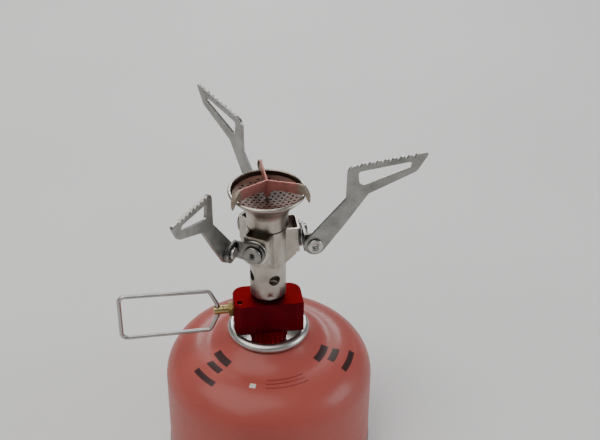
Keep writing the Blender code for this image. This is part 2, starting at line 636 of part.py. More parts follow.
def build_bracket():
    outer = bracket_outline(BRACKET_BORE + SHEET, LOBE_HALF_WIDTH, TAB_FACE)
    inner = bracket_outline(BRACKET_BORE, LOBE_HALF_WIDTH - SHEET, TAB_FACE - SHEET)
    height = BRACKET_TOP - BRACKET_BOTTOM
    bracket = plate("support_bracket", [outer, inner], height, SATIN_STEEL,
                    Matrix.Translation((0, 0, BRACKET_BOTTOM)))
    drop = 2 * MM
    below = BRACKET_BOTTOM - drop
    start, slope = 6.3 * MM, 1.0
    inner_face = TAB_FACE - SHEET - 0.2 * MM
    wedge = [(start - drop / slope, below), (inner_face, below),
             (inner_face, BRACKET_BOTTOM + (inner_face - start) * slope)]
    chin_radius = 8.2 * MM
    wide = LOBE_HALF_WIDTH + MM
    chin_turn = math.asin(wide / chin_radius)
    chin_centre = (0, SWIVEL_Z + chin_radius - 7.4 * MM)
    chin = [(-wide, below), (wide, below)]
    chin += arc(chin_centre, chin_radius, -math.pi / 2 + chin_turn, -math.pi / 2 - chin_turn, 12)
    for name, turn in SUPPORT_ANGLES.items():
        wedge_bm = plate_bmesh([wedge], 2 * wide)
        boolean(bracket, cutter(f"cut_wedge_{name}", wedge_bm, side_matrix(turn, -wide)))
        chin_bm = plate_bmesh([chin], 3 * MM)
        boolean(bracket, cutter(f"cut_chin_{name}", chin_bm, radial_matrix(turn, inner_face - 0.4 * MM, 0)))
        outward, _, origin = frame_at(turn, (0, 0, SWIVEL_Z))
        drill(bracket, f"cut_rivet_hole_{name}", origin + outward * 9 * MM, origin + outward * 15 * MM,
              SHANK_HOLE, 20)


# ---------------------------------------------------------------- pot supports
WASHER_FACE = TAB_FACE + GAP
WASHER_THICKNESS = 0.6 * MM
LINK_FACE = WASHER_FACE + WASHER_THICKNESS + GAP
HEAD_FACE = LINK_FACE + LINK_THICKNESS + GAP


def rivet_profile(inner_head, shank_from, shank_to, outer_head, inner_height, outer_height, hollow):
    """A tubular rivet along Z: inner head, shank, then a rounded outer head with a blind hollow."""
    top = shank_to + outer_height
    edge = 0.35 * MM
    return [
        (0, shank_from - inner_height), (inner_head - edge, shank_from - inner_height),
        (inner_head, shank_from - inner_height + edge), (inner_head, shank_from),
        (SHANK_RADIUS, shank_from), (SHANK_RADIUS, shank_to), (outer_head, shank_to),
        (outer_head, shank_to + 0.3 * MM), (outer_head - edge, top - 0.1 * MM),
        (hollow + 0.5 * MM, top), (hollow, top - 0.4 * MM), (hollow, shank_to - 0.6 * MM),
        (0, shank_to - 0.6 * MM),
    ]


def ring_plate(name, inner, outer, thickness, look, matrix):
    return plate(name, [circle((0, 0), outer, 24), circle((0, 0), inner, 16)], thickness, look, matrix)


def link_bodies(turn):
    """The two plates of the bent link, each as (bmesh, matrix)."""
    ear_outer = EAR_INNER + LINK_THICKNESS
    low, high = FOLD_Z - SWIVEL_Z - 3.9 * MM, FOLD_Z - SWIVEL_Z + 3.9 * MM
    disc = 4.7 * MM
    # the radial plate's local x runs towards -side
    base = arc((0, 0), disc, math.radians(-62), math.radians(70), 12)
    base += [(-ear_outer, high), (-ear_outer, low)]
    hole = circle((0, 0), SHANK_HOLE, 16)
    flat = plate_bmesh([base, hole], LINK_THICKNESS)
    ear_radius = 4.2 * MM
    ear = arc((FOLD_RADIUS, FOLD_Z), ear_radius, math.radians(-80), math.radians(80), 12)
    ear += [(LINK_FACE, SWIVEL_Z + high), (LINK_FACE, SWIVEL_Z + low)]
    ear_hole = circle((FOLD_RADIUS, FOLD_Z), SHANK_HOLE, 16)
    side_plate = plate_bmesh([ear, ear_hole], LINK_THICKNESS)
    return (flat, radial_matrix(turn, LINK_FACE, SWIVEL_Z)), (side_plate, side_matrix(turn, EAR_INNER))


def support_outline():
    """Side view of a pot support as (outward, z): pivot eye, leaning stem, toothed top bar and lower bar."""
    pivot = Vector((FOLD_RADIUS, FOLD_Z))
    eye = 4.4 * MM
    knee = Vector((29.9 * MM, CURL_Z + 68.9 * MM))
    crook = Vector((30.6 * MM, CURL_Z + 58.2 * MM))
    inner_touch = tangent_angle(pivot, eye, knee, 1)
    outer_touch = tangent_angle(pivot, eye, crook, -1)
    corner_radius = 3.2 * MM
    top_start = (30.1 * MM, CURL_Z + 83.6 * MM)
    slope = 0.126
    points = arc(pivot, eye, inner_touch, outer_touch + 2 * math.pi, 14)
    points += [(crook.x, crook.y), (38.8 * MM, CURL_Z + 70.6 * MM)]
    points += [(57.2 * MM, CURL_Z + 79.2 * MM), (58.2 * MM, CURL_Z + 80.2 * MM)]
    points += [(61.9 * MM, CURL_Z + 86.6 * MM), (61.5 * MM, CURL_Z + 87.5 * MM)]
    points.append((57.2 * MM, CURL_Z + 87.1 * MM))
    first, pitch, depth, count = 33.4 * MM, 3.06 * MM, 1.15 * MM, 8
    for i in reversed(range(count)):
        peak = first + pitch * i
        height = top_start[1] + (peak - top_start[0]) * slope
        points += [(peak + pitch * 0.5, height - depth), (peak + pitch * 0.18, height)]
        if i:
            points.append((peak - pitch * 0.18, height))
    points += arc((top_start[0] + corner_radius, top_start[1] - corner_radius), corner_radius,
                  math.radians(95), math.pi, 5)
    points.append((knee.x, knee.y))
    return points


def tangent_angle(centre, radius, point, side):
    """Angle, on the circle, of the touching point of the tangent that passes through point."""
    away = point - centre
    lean = math.acos(radius / away.length)
    return math.atan2(away.y, away.x) + side * lean


def support_slot():
    corners = [(35.2, 74.2, 1.3), (34.4, 80.9, 1.3), (54.9, 83.9, 0.9), (56.2, 82.0, 0.9)]
    return rounded([(x * MM, CURL_Z + z * MM, r * MM) for x, z, r in corners], 3)


def build_support(name, turn):
    rivet = rivet_profile(2.8 * MM, -GAP - SHEET, HEAD_FACE - TAB_FACE, 3.8 * MM, 1.1 * MM, 1.1 * MM,
                          0.9 * MM)
    turned(f"bracket_rivet_{name}", rivet, DARK_STEEL, 16, radial_matrix(turn, TAB_FACE, SWIVEL_Z))
    ring_plate(f"spring_washer_{name}", SHANK_HOLE, 5.5 * MM, WASHER_THICKNESS, BARE_STEEL,
               radial_matrix(turn, WASHER_FACE, SWIVEL_Z))

    (flat, flat_place), (ear, ear_place) = link_bodies(turn)
    link = finish(f"swivel_link_{name}", flat, DARK_STEEL, flat_place)
    boolean(link, cutter(f"add_ear_{name}", ear, ear_place), "UNION")

    ear_outer = EAR_INNER + LINK_THICKNESS
    washer_inner = ear_outer + GAP
    washer_thickness = BLADE_INNER - GAP - washer_inner
    outer_head = BLADE_INNER + BLADE_THICKNESS + GAP
    pivot_place = side_matrix(turn, 0, FOLD_Z, FOLD_RADIUS)
    fold_rivet = rivet_profile(2.6 * MM, EAR_INNER - GAP, outer_head, 3.1 * MM, 0.8 * MM, 1.0 * MM, 1.3 * MM)
    turned(f"fold_rivet_{name}", fold_rivet, BARE_STEEL, 16, pivot_place)
    ring_plate(f"fold_washer_{name}", SHANK_HOLE, 4.0 * MM, washer_thickness, BARE_STEEL,
               pivot_place @ Matrix.Translation((0, 0, washer_inner)))

    hole = circle((FOLD_RADIUS, FOLD_Z), SHANK_HOLE, 16)
    blade = plate_bmesh([support_outline(), support_slot(), hole], BLADE_THICKNESS)
    pivot_shift = Matrix.Translation((-FOLD_RADIUS, -FOLD_Z, 0))
    bmesh.ops.transform(blade, matrix=pivot_shift, verts=blade.verts)
    finish(f"pot_support_{name}", blade, SATIN_STEEL,
           side_matrix(turn, BLADE_INNER, FOLD_Z, FOLD_RADIUS))


def main():
    clear_scene()
    build_canister()
    build_inlet()
    build_valve_body()
    build_jet()
    build_spindle()
    build_handle()
    build_tube()
    build_burner_head()
    build_screen()
    build_wind_clip()
    build_bracket()
    for name, turn in SUPPORT_ANGLES.items():
        build_support(name, turn)


main()
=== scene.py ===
import math

import bmesh
import bpy
from mathutils import Matrix, Vector
from mathutils.geometry import tessellate_polygon


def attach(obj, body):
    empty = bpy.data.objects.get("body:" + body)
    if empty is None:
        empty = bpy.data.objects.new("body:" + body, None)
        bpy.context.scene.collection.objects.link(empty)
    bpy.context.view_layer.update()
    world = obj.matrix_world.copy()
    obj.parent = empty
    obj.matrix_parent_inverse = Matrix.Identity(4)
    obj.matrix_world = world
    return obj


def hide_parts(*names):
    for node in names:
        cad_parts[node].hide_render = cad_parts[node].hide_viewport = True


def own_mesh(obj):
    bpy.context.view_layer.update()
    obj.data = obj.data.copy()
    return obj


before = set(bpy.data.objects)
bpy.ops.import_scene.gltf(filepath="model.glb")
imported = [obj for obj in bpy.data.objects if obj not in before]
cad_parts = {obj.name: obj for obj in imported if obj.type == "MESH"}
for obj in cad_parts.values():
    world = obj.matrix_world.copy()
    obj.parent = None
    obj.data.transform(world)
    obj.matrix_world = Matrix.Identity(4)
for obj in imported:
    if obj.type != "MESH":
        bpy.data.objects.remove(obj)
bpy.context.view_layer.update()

MM = 0.001
CURL = 62.4 * MM  # height of the valve cup's curled rim
BODY_BOTTOM = CURL + 3.5 * MM
BODY_TOP = CURL + 17.9 * MM
SPINDLE_Z = CURL + 10.9 * MM
SPINDLE_PLACE = Matrix.Translation((0, 0, SPINDLE_Z)) @ Matrix.Rotation(-math.pi / 2, 4, "Y")
CROSS_HOLE_X = -21.6 * MM
SWIVEL_Z = CURL + 47.0 * MM
FOLD_Z = CURL + 47.8 * MM
FOLD_RADIUS = 17.8 * MM
TAB_FACE = 12.6 * MM
GAP = 0.3 * MM  # clearance left between neighbouring parts
CAN_RADIUS = 44.7 * MM
CUP_FLOOR = 57.0  # mm above the ground, like the other heights in the cup's profile
CURL_MAJOR, CURL_MINOR = 15.4, 2.0  # mm, the torus that makes the cup's curled rim
THREAD_PITCH = 0.907  # mm
SCREEN_PITCH, SCREEN_HOLE, SCREEN_RADIUS = 2.25 * MM, 0.55 * MM, 14.0 * MM
RIVET_SHANK = 1.5  # mm
CLIP_TURN = math.radians(-27)  # azimuth of the wind clip's first fin
SHARP_EDGE = math.radians(35)  # edges bent further than this are shaded sharp
FINE_RELIEF = 0.04 * MM  # depth that full-strength bump stands for
SATIN_TONES = (0.35, 0.315, 0.277), (0.51, 0.465, 0.412)
SATIN_ROUGHNESS = (0.30, 0.42)
ALONG_Z = (1, 1, 0.12)  # stretches the grain along the tube
ANGLES = {"right": 0.0, "left": math.radians(-120), "rear": math.radians(120)}


# ---------------------------------------------------------------- shapes
def arc(centre, radius, first, last, steps):
    """Points along an arc from angle first to angle last, both ends included."""
    cx, cy = centre
    turns = (first + (last - first) * i / steps for i in range(steps + 1))
    return [(cx + radius * math.cos(a), cy + radius * math.sin(a)) for a in turns]


def circle(centre, radius, segments):
    return arc(centre, radius, 0, 2 * math.pi, segments)[:-1]


def rounded(corners, steps=6):
    """A closed outline through corners (x, y, fillet radius), with each fillet as an arc."""
    points = []
    for i, (x, y, radius) in enumerate(corners):
        here = Vector((x, y))
        if radius == 0:
            points.append((x, y))
            continue
        before = (Vector(corners[i - 1][:2]) - here).normalized()
        after = (Vector(corners[(i + 1) % len(corners)][:2]) - here).normalized()
        half = before.angle(after) / 2
        centre = here + (before + after).normalized() * radius / math.sin(half)
        first = here + before * radius / math.tan(half) - centre
        last = here + after * radius / math.tan(half) - centre
        start = math.atan2(first.y, first.x)
        sweep = math.atan2(first.x * last.y - first.y * last.x, first.dot(last))
        points += arc(centre, radius, start, start + sweep, steps)
    return points


def in_mm(corners):
    return [tuple(value * MM for value in corner) for corner in corners]


def spun(profile, segments):
    """Revolve (radius, z) points about Z. The profile is a closed loop unless its ends are on the axis."""
    bm = bmesh.new()
    verts = [bm.verts.new((radius, 0, z)) for radius, z in profile]
    pairs = list(zip(verts, verts[1:]))
    if profile[0][0] > 0 or profile[-1][0] > 0:
        pairs.append((verts[-1], verts[0]))
    edges = [bm.edges.new(pair) for pair in pairs]
    bmesh.ops.spin(bm, geom=verts + edges, axis=(0, 0, 1), cent=(0, 0, 0),
                   steps=segments, angle=2 * math.pi, use_merge=True)
    bmesh.ops.remove_doubles(bm, verts=bm.verts, dist=1e-7)
    return bm


def thicken(bm, thickness):
    """Turn the surface in bm into a closed plate, thickness high in Z."""
    bmesh.ops.recalc_face_normals(bm, faces=bm.faces)
    grown = bmesh.ops.extrude_face_region(bm, geom=bm.faces[:])
    top = [item for item in grown["geom"] if isinstance(item, bmesh.types.BMVert)]
    bmesh.ops.translate(bm, verts=top, vec=(0, 0, thickness))


def absorb(bm, other):
    """Add the geometry of another bmesh to bm, and free the other."""
    mesh = bpy.data.meshes.new("absorbed")
    other.to_mesh(mesh)
    other.free()
    bm.from_mesh(mesh)
    bpy.data.meshes.remove(mesh)


def sheet_bmesh(loops, thickness, edge, segments):
    """A flat plate in XY from z = 0 to thickness, its rims eased by edge. Loops after the first are holes."""
    bm = bmesh.new()
    points = [[Vector((x, y, 0)) for x, y in loop] for loop in loops]
    verts = [bm.verts.new(p) for loop in points for p in loop]
    for triangle in tessellate_polygon(points):
        bm.faces.new([verts[i] for i in triangle])
    thicken(bm, thickness)
    bmesh.ops.dissolve_limit(bm, angle_limit=math.radians(0.5), verts=bm.verts, edges=bm.edges)
    rims = [e for e in bm.edges if abs(e.verts[0].co.z - e.verts[1].co.z) < 1e-7]
    bmesh.ops.bevel(bm, geom=rims, offset=edge, segments=segments, affect="EDGES", profile=0.5,
                    clamp_overlap=True)
    return bm


def radial_matrix(angle, outward_distance, z):
    """Local Z outward from the burner's axis, local Y up."""
    outward = Vector((math.cos(angle), math.sin(angle), 0))
    up = Vector((0, 0, 1))
    place = Matrix((up.cross(outward), up, outward)).transposed().to_4x4()
    return Matrix.Translation(outward * outward_distance + up * z) @ place


def side_matrix(angle, side_distance, z=0.0, outward_distance=0.0):
    """Local X outward, local Y up, local Z sideways, clockwise from above."""
    outward = Vector((math.cos(angle), math.sin(angle), 0))
    side = Vector((math.sin(angle), -math.cos(angle), 0))
    up = Vector((0, 0, 1))
    place = Matrix((outward, up, outward.cross(up))).transposed().to_4x4()
    origin = outward * outward_distance + side * side_distance + up * z
    return Matrix.Translation(origin) @ place


def mesh_object(name, bm, place=None):
    """A new object from bm, smooth apart from its sharp edges. Frees bm."""
    bmesh.ops.recalc_face_normals(bm, faces=bm.faces)
    mesh = bpy.data.meshes.new(name)
    bm.to_mesh(mesh)
    bm.free()
    mesh.polygons.foreach_set("use_smooth", [True] * len(mesh.polygons))
    mesh.set_sharp_from_angle(angle=SHARP_EDGE)
    piece = bpy.data.objects.new(name, mesh)
    bpy.context.scene.collection.objects.link(piece)
    if place:
        piece.matrix_world = place
    return piece


def dress(piece, look, slot, body, *nodes):
    """Give piece its material, and let it ride on body in place of the CAD nodes. The slot argument is not used."""
    piece.data.materials.clear()
    piece.data.materials.append(look)
    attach(piece, body)
    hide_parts(*nodes)


def carve(piece, tools):
    """Cut each tool, a bmesh and its matrix, out of piece with an exact boolean, and drop the tools."""
    for index, (bm, place) in enumerate(tools):
        tool = mesh_object(f"tool_{index}", bm, place)
        modifier = piece.modifiers.new("carve", "BOOLEAN")
        modifier.operation, modifier.solver, modifier.object = "DIFFERENCE", "EXACT", tool
        bpy.context.view_layer.update()
        evaluated = piece.evaluated_get(bpy.context.evaluated_depsgraph_get())
        carved = bpy.data.meshes.new_from_object(evaluated)
        piece.modifiers.clear()
        old, piece.data = piece.data, carved
        bpy.data.meshes.remove(old)
        tool_mesh = tool.data
        bpy.data.objects.remove(tool)
        bpy.data.meshes.remove(tool_mesh)
    piece.data.polygons.foreach_set("use_smooth", [True] * len(piece.data.polygons))
    piece.data.set_sharp_from_angle(angle=SHARP_EDGE)


def even_normals(piece):
    """Keep large flat faces flat in the shading."""
    modifier = piece.modifiers.new("even_normals", "WEIGHTED_NORMAL")
    modifier.keep_sharp = True
    modifier.weight = 80


def ease_edges(piece, width, angle):
    """Bevel the edges that bend further than angle, in degrees."""
    modifier = piece.modifiers.new("eased_edges", "BEVEL")
    modifier.width, modifier.segments = width, 2
    modifier.limit_method, modifier.angle_limit = "ANGLE", math.radians(angle)
    modifier.use_clamp_overlap = True
    even_normals(piece)


def recut(node_name, name, width, angle):
    """A new piece on the CAD node's own shape, with its facets merged and its edges eased."""
    bm = bmesh.new()
    bm.from_mesh(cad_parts[node_name].data)
    bmesh.ops.remove_doubles(bm, verts=bm.verts, dist=1e-6)
    bmesh.ops.dissolve_limit(bm, angle_limit=math.radians(0.6), verts=bm.verts, edges=bm.edges)
    piece = mesh_object(name, bm)
    ease_edges(piece, width, angle)
    return piece


# ---------------------------------------------------------------- materials
def node(tree, kind, inputs=(), **settings):
    """Add a shader node. inputs maps a socket's name or number to a value or to another node's output."""
    item = tree.nodes.new("ShaderNode" + kind)
    for key, value in settings.items():
        setattr(item, key, value)
    for key, value in dict(inputs).items():
        if isinstance(value, bpy.types.NodeSocket):
            tree.links.new(value, item.inputs[key])
        else:
            item.inputs[key].default_value = value
    return item


def noise(tree, scale, detail=4.0, stretch=(1, 1, 1), turn=(0, 0, 0)):
    where = node(tree, "TexCoord").outputs["Object"]
    vector = node(tree, "Mapping", {"Vector": where, "Scale": stretch, "Rotation": turn}).outputs[0]
    return node(tree, "TexNoise", {"Vector": vector, "Scale": scale, "Detail": detail}).outputs[0]


def axis_parts(tree):
    """The separated object coordinates, and the distance from the local Z axis."""
    parts = node(tree, "SeparateXYZ", {0: node(tree, "TexCoord").outputs["Object"]})
    flat = node(tree, "CombineXYZ", {0: parts.outputs[0], 1: parts.outputs[1], 2: 0.0})
    radius = node(tree, "VectorMath", {0: flat.outputs[0]}, operation="LENGTH").outputs["Value"]
    return parts, radius


def rings(tree, scale):
    """Noise that is the same all round the local Z axis: the marks of a lathe tool."""
    parts, radius = axis_parts(tree)
    along = maths(tree, "ADD", radius, parts.outputs[2])
    return node(tree, "TexNoise", {"W": along, "Scale": scale, "Detail": 3.0},
                noise_dimensions="1D").outputs[0]


def maths(tree, operation, first, second=0.0):
    return node(tree, "Math", {0: first, 1: second}, operation=operation).outputs[0]


def span(tree, value, low, high, to_low=0.0, to_high=1.0):
    """Map the range low to high onto to_low to to_high, clamped."""
    limits = {"Value": value, "From Min": low, "From Max": high, "To Min": to_low, "To Max": to_high}
    return node(tree, "MapRange", limits).outputs[0]


def blend(tree, share, first, second):
    """Colour mix. The two colours are tuples or sockets."""
    item = node(tree, "Mix", {0: share}, data_type="RGBA")
    for index, colour in ((6, first), (7, second)):
        if isinstance(colour, bpy.types.NodeSocket):
            tree.links.new(colour, item.inputs[index])
        else:
            item.inputs[index].default_value = (*colour, 1.0)
    return item.outputs[2]


def principled(name, **sockets):
    """A new material, its tree and its shader. Sockets are named with _ for each space."""
    material = bpy.data.materials.new(name)
    material.use_nodes = True
    tree = material.node_tree
    shader = tree.nodes["Principled BSDF"]
    for key, value in sockets.items():
        shader.inputs[key.replace("_", " ")].default_value = value
    return material, tree, shader


def roughen(tree, shader, height, strength, distance=FINE_RELIEF):
    bump = node(tree, "Bump", {"Height": height, "Strength": strength, "Distance": distance})
    tree.links.new(bump.outputs[0], shader.inputs["Normal"])


def metal(name, dark, light, roughness, grain=(1, 1, 1), grain_scale=900, bump=0.12, turned=False):
    """Worked metal: cloudy tone, fine grain or lathe marks, and a few scratches."""
    material, tree, shader = principled(name, Metallic=1.0)
    clouds = noise(tree, 160, 4)
    fine = rings(tree, 4200) if turned else noise(tree, grain_scale, 5, grain)
    scratches = span(tree, noise(tree, 420, 2, (1, 14, 9), (0.5, 0.3, 0.8)), 0.66, 0.74)
    share = 0.2 if turned else 0.5
    tone = span(tree, maths(tree, "ADD", clouds, maths(tree, "MULTIPLY", fine, share)),
                0.3 + share / 2, 0.7 + share / 2)
    colour = blend(tree, tone, dark, light)
    tree.links.new(colour, shader.inputs["Base Color"])
    low, high = roughness
    rough = span(tree, fine, 0.3, 0.7, low, high)
    rough = maths(tree, "ADD", rough, maths(tree, "MULTIPLY", scratches, 0.12))
    tree.links.new(rough, shader.inputs["Roughness"])
    roughen(tree, shader, maths(tree, "SUBTRACT", fine, maths(tree, "MULTIPLY", scratches, 0.6)), bump)
    return material


def canister_paint():
    """Satin red paint with scuffs and the plain printed marks."""
    material, tree, shader = principled("canister_paint", Coat_Weight=0.22, Coat_Roughness=0.2, Coat_IOR=1.5,
                                        Specular_IOR_Level=0.3)
    clouds = noise(tree, 28, 3)
    base = blend(tree, span(tree, clouds, 0.3, 0.7), (0.33, 0.060, 0.047), (0.38, 0.074, 0.058))
    scuffs = span(tree, noise(tree, 60, 6, (1, 1, 6)), 0.66, 0.78, 0.0, 0.35)
    base = blend(tree, scuffs, base, (0.48, 0.12, 0.095))
    parts, radius = axis_parts(tree)
    around = node(tree, "Math", {0: parts.outputs[1], 1: parts.outputs[0]}, operation="ARCTAN2").outputs[0]
    for azimuth, half_turn, distance, half_width, ink in PRINT_MARKS:
        across = maths(tree, "ABSOLUTE", maths(tree, "SUBTRACT", around, math.radians(azimuth)))
        along = maths(tree, "ABSOLUTE", maths(tree, "SUBTRACT", radius, distance * MM))
        inside = maths(tree, "MULTIPLY",
                       span(tree, across, math.radians(half_turn), math.radians(half_turn + 0.4), 1.0, 0.0),
                       span(tree, along, half_width * MM, (half_width + 0.15) * MM, 1.0, 0.0))
        base = blend(tree, inside, base, ink)
    tree.links.new(base, shader.inputs["Base Color"])
    fine = noise(tree, 700, 3)
    tree.links.new(span(tree, fine, 0.3, 0.7, 0.44, 0.54), shader.inputs["Roughness"])
    roughen(tree, shader, fine, 0.05, 0.05 * MM)
    return material


def anodised_red(name, dark_red, light_red):
    """Dyed aluminium with a fine blasted surface."""
    material, tree, shader = principled(name, Metallic=0.95, Coat_Weight=0.05, Coat_Roughness=0.12,
                                        Specular_Tint=(0.7, 0.25, 0.27, 1))
    clouds = noise(tree, 120, 3)
    colour = blend(tree, span(tree, clouds, 0.3, 0.7), dark_red, light_red)
    tree.links.new(colour, shader.inputs["Base Color"])
    fine = noise(tree, 1800, 3)
    tree.links.new(span(tree, fine, 0.3, 0.7, 0.38, 0.48), shader.inputs["Roughness"])
    roughen(tree, shader, fine, 0.06, 0.03 * MM)
    return material


def heat_tint_and_shade(name, inner, outer, inner_radius, outer_radius, metallic):
    """Steel coloured from the burner's middle to its edge: heat tint, with painted shade for the screen's dark
    middle.
    """
    material, tree, shader = principled(name, Metallic=metallic)
    _, radius = axis_parts(tree)
    wander = maths(tree, "MULTIPLY", noise(tree, 260, 4), 3.0 * MM)
    share = span(tree, maths(tree, "ADD", radius, wander), inner_radius + 1.5 * MM, outer_radius + 1.5 * MM)
    colour = blend(tree, share, inner, outer)
    blotches = span(tree, noise(tree, 420, 5), 0.45, 0.75, 0.0, 0.5)
    colour = blend(tree, blotches, colour, tuple(value * 0.45 for value in outer))
    tree.links.new(colour, shader.inputs["Base Color"])
    fine = noise(tree, 1500, 4)
    tree.links.new(span(tree, fine, 0.3, 0.7, 0.42, 0.60), shader.inputs["Roughness"])
    roughen(tree, shader, fine, 0.15)
    return material


def inner_wall_shaded_steel():
    """The satin steel of the burner's head, with painted shade darkening its inner wall inside the rim."""
    material = metal("inner_wall_shaded_steel", *SATIN_TONES, SATIN_ROUGHNESS, ALONG_Z, 1400, 0.10)
    tree = material.node_tree
    shader = tree.nodes["Principled BSDF"]
    steel = shader.inputs["Base Color"].links[0].from_socket
    parts, radius = axis_parts(tree)
    # Painted shade: the inner wall between the screen and the lip is darkened to stand for the shade there.
    above = span(tree, parts.outputs[2], CURL + 66.9 * MM, CURL + 67.3 * MM)
    within = span(tree, radius, 14.35 * MM, 14.75 * MM, 1.0, 0.0)
    painted_inner_shade = maths(tree, "MULTIPLY", maths(tree, "MULTIPLY", above, within), 0.9)
    tree.links.new(blend(tree, painted_inner_shade, steel, (0.055, 0.038, 0.026)), shader.inputs["Base Color"])
    return material


def plain(name, dark, light, roughness, scale=500, bump=0.2, **sockets):
    """Rubber or plastic with a slightly mottled, fine-grained surface."""
    material, tree, shader = principled(name, Roughness=roughness, **sockets)
    fine = noise(tree, scale, 4)
    colour = blend(tree, span(tree, fine, 0.35, 0.65), dark, light)
    tree.links.new(colour, shader.inputs["Base Color"])
    roughen(tree, shader, fine, bump, 0.05 * MM)
    return material


DARK_INK = (0.030, 0.007, 0.007)
FAINT_INK = (0.19, 0.028, 0.024)
PALE_INK = (0.60, 0.55, 0.52)
# plain printed bars on the shoulder: azimuth and half width in degrees, radius and half width in mm, colour
PRINT_MARKS = [
    (-154.0, 12.0, 23.5, 1.5, DARK_INK), (-150.0, 8.0, 28.5, 1.5, DARK_INK), (-148.0, 10.0, 34.8, 1.1, DARK_INK),
    (-30.0, 12.0, 24.5, 1.5, DARK_INK), (-27.0, 8.0, 29.5, 1.5, DARK_INK), (-26.0, 10.0, 36.0, 1.1, DARK_INK),
    (-110.0, 2.2, 29.8, 1.1, PALE_INK),
    (-82.0, 17.0, 26.2, 0.2, FAINT_INK), (-82.0, 17.0, 28.4, 0.2, FAINT_INK), (-82.0, 17.0, 30.6, 0.2, FAINT_INK),
]

paint = canister_paint()
red = anodised_red("red_anodised", (0.080, 0.001, 0.005), (0.125, 0.002, 0.008))
# A lighter copy of the block's red: painted light, making up for the shade the block casts on the collar.
collar_red_painted_light = anodised_red("collar_red_painted_light", (0.50, 0.006, 0.020), (0.70, 0.010, 0.030))
bright = metal("bright_steel", (0.50, 0.49, 0.46), (0.70, 0.69, 0.66), (0.18, 0.28), bump=0.05)
turned_bright = metal("turned_steel", (0.44, 0.43, 0.41), (0.64, 0.63, 0.60), (0.22, 0.32), bump=0.06, turned=True)
cup_steel = metal("cup_steel", (0.42, 0.41, 0.39), (0.58, 0.57, 0.55), (0.28, 0.38), bump=0.05, turned=True)
# The burner head's satin steel, with painted shade on its inner wall.
head_steel_inner_shade = inner_wall_shaded_steel()
satin = metal("satin_steel", *SATIN_TONES, SATIN_ROUGHNESS, ALONG_Z, 1400, 0.10)
sheet = metal("stamped_steel", (0.24, 0.235, 0.22), (0.38, 0.37, 0.35), (0.30, 0.44), (1, 1, 1), 1100, 0.12)
dark = metal("dark_steel", (0.11, 0.105, 0.10), (0.25, 0.24, 0.23), (0.22, 0.34), bump=0.08)
turned_dark = metal("turned_dark_steel", (0.17, 0.16, 0.15), (0.34, 0.33, 0.31), (0.22, 0.34), bump=0.06,
                    turned=True)
wire = metal("wire_steel", (0.38, 0.37, 0.35), (0.50, 0.49, 0.47), (0.28, 0.36), bump=0.02)
brass = metal("turned_brass", (0.34, 0.26, 0.10), (0.52, 0.42, 0.19), (0.28, 0.36), bump=0.03, turned=True)
# A darker copy of the turned brass, for the gland nut.
darker_brass = metal("darker_brass", (0.17, 0.12, 0.045), (0.30, 0.22, 0.09), (0.28, 0.38), bump=0.04, turned=True)
bronze = plain("sintered_bronze", (0.18, 0.10, 0.045), (0.42, 0.27, 0.14), 0.6, 1500, 0.8, Metallic=0.8)
rubber = plain("black_rubber", (0.012, 0.012, 0.012), (0.03, 0.03, 0.03), 0.6)
nylon = plain("nylon", (0.66, 0.64, 0.58), (0.78, 0.76, 0.70), 0.45, 300, 0.1)
tinted_clip = heat_tint_and_shade("heat_tinted_clip", (0.52, 0.200, 0.170), (0.32, 0.26, 0.20), 12.0 * MM, 14.5 * MM, 0.6)
# The screen's near-black middle is painted shade, for the shade under the fins in the dish; the brown towards the
# edge is heat tint.
screen_tint_and_shade = heat_tint_and_shade("screen_heat_tint_painted_shade", (0.034, 0.014, 0.010), (0.135, 0.062, 0.043), 3 * MM, 13 * MM, 0.2)


# ---------------------------------------------------------------- canister
def dome(inset, steps=28):
    """Shoulder and neck of the shell as (radius, z), from the neck outward."""
    shoulder, rise, flat, neck, neck_rise = CURL - 24.3 * MM, 16.2 * MM, 27.4 * MM, 17.2 * MM, 5.3 * MM
    wall = CAN_RADIUS - inset
    points = []
    for i in range(steps):
        share = i / steps
        points.append((neck + (flat - neck) * share, shoulder + rise + neck_rise * (1 - share) ** 2 - inset))
    for i in range(steps + 1):
        turn = math.pi / 2 * i / steps
        points.append((flat + (wall - flat) * math.sin(turn), shoulder + (rise - inset) * math.cos(turn)))
    return points


